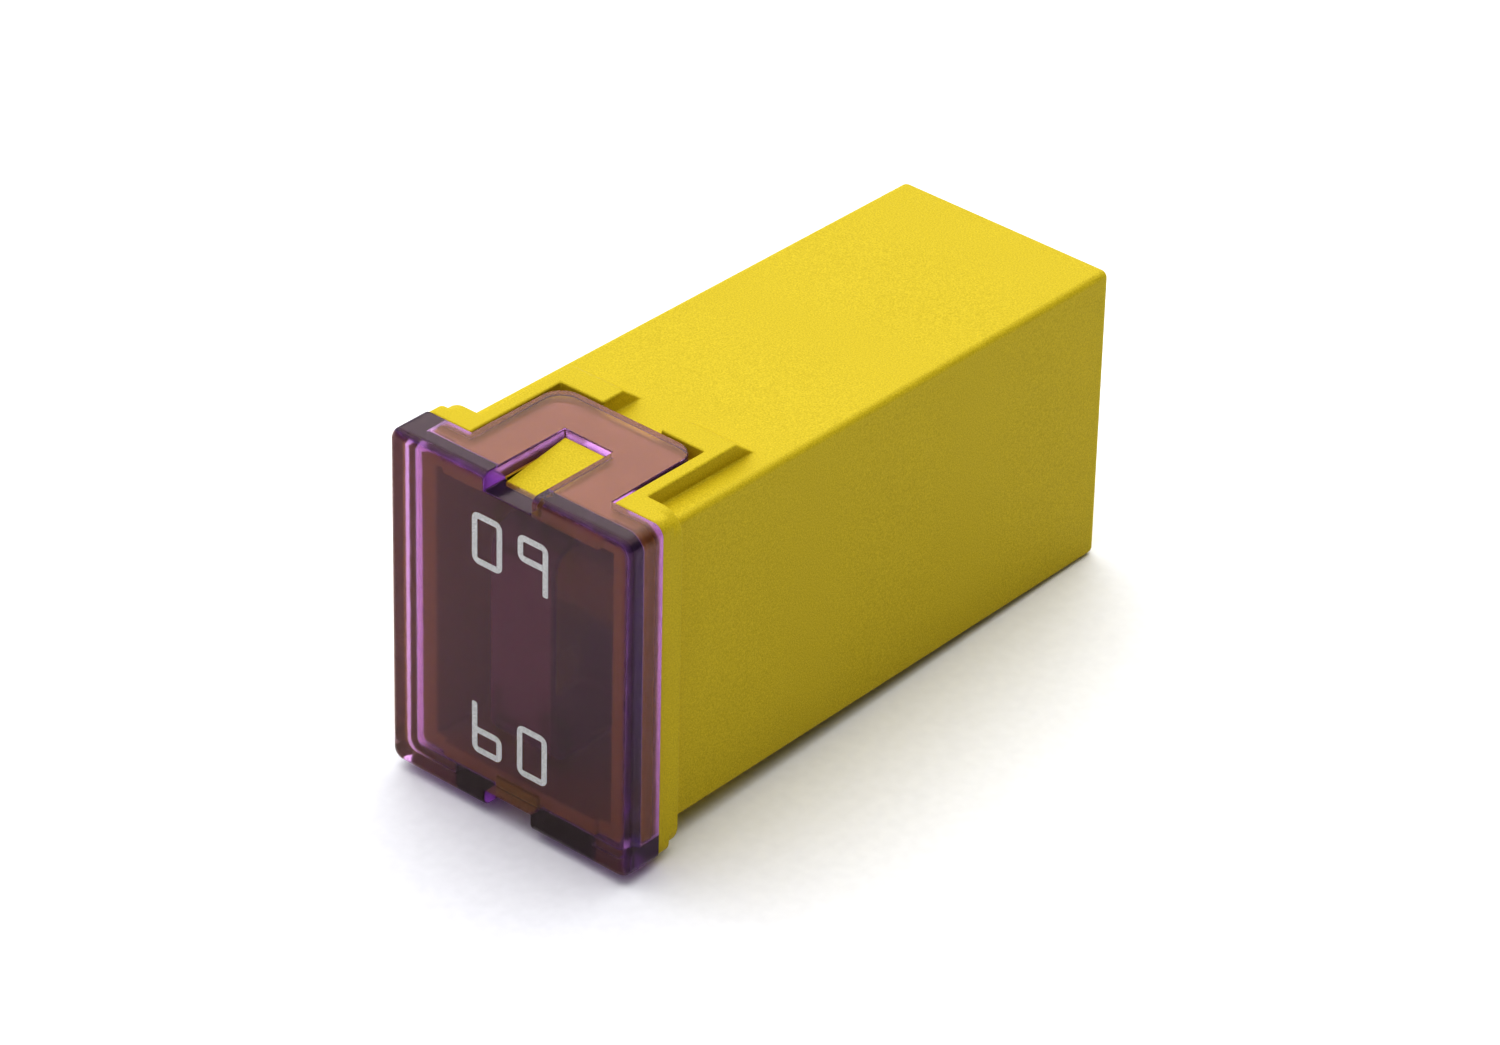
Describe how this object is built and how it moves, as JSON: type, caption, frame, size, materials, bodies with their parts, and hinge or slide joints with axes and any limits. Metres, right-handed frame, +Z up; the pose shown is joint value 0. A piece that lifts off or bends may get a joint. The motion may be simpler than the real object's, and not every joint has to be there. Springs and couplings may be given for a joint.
{
  "type": "cartridge fuse",
  "caption": "Blade-socket cartridge fuse: rectangular moulded housing, clear window cover clipped over the fuse link, sockets in the tail.",
  "frame": {"origin": "middle of the footprint of the fuse lying on its side, at the underside of the cover and flange", "axes": "+Y from the window to the tail, +Z up through the two legs of the cover, +X to the right seen from the window"},
  "size_m": [0.0122, 0.0292, 0.015],
  "materials": {
    "housing_plastic": "fine matt moulded nylon, yellow",
    "clear_plastic": "clear polished polycarbonate, violet tint",
    "copper_alloy": "stamped copper alloy strip, lightly tarnished",
    "tin": "dull tin",
    "spring_steel": "rolled stainless spring sheet"
  },
  "bodies": {
    "root": {"housing": "housing_plastic", "cover": "clear_plastic", "fuse_element": "copper_alloy", "tin_pellet": "tin", "contact_spring_upper": "spring_steel", "contact_spring_lower": "spring_steel"}
  },
  "joints": []
}
